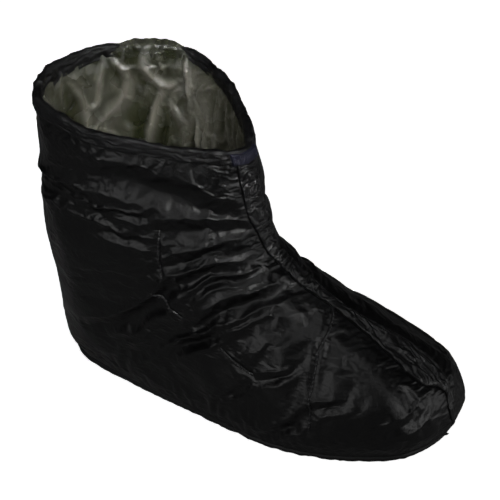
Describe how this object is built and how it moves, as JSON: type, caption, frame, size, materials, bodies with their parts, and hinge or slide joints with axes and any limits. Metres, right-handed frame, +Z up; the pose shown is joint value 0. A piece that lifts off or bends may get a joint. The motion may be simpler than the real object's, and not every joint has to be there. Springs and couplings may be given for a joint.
{
  "type": "insulated camp bootie",
  "caption": "Soft insulated bootie with a hollow padded upper, open collar with a bound edge, gathered strip down the front and a padded fabric sole.",
  "frame": {"origin": "on the floor under the middle of the foot's length, on the flat underside of the sole", "axes": "+Z up, toe towards -Y, the wearer's right towards -X"},
  "size_m": [0.1356, 0.311, 0.2261],
  "materials": {
    "sole_fabric": "padded black nylon, slightly glossy",
    "lining": "thin silvery olive nylon, glossy",
    "shell_fabric": "thin black nylon, glossy, puckered",
    "binding_tape": "black woven tape",
    "strip_fabric": "gathered black nylon",
    "tab_thread": "dark blue thread"
  },
  "bodies": {
    "root": {"sole": "sole_fabric", "insole": "lining", "upper": "shell_fabric", "collar_binding": "binding_tape", "front_strip": "strip_fabric", "front_tab": "tab_thread"}
  },
  "joints": []
}
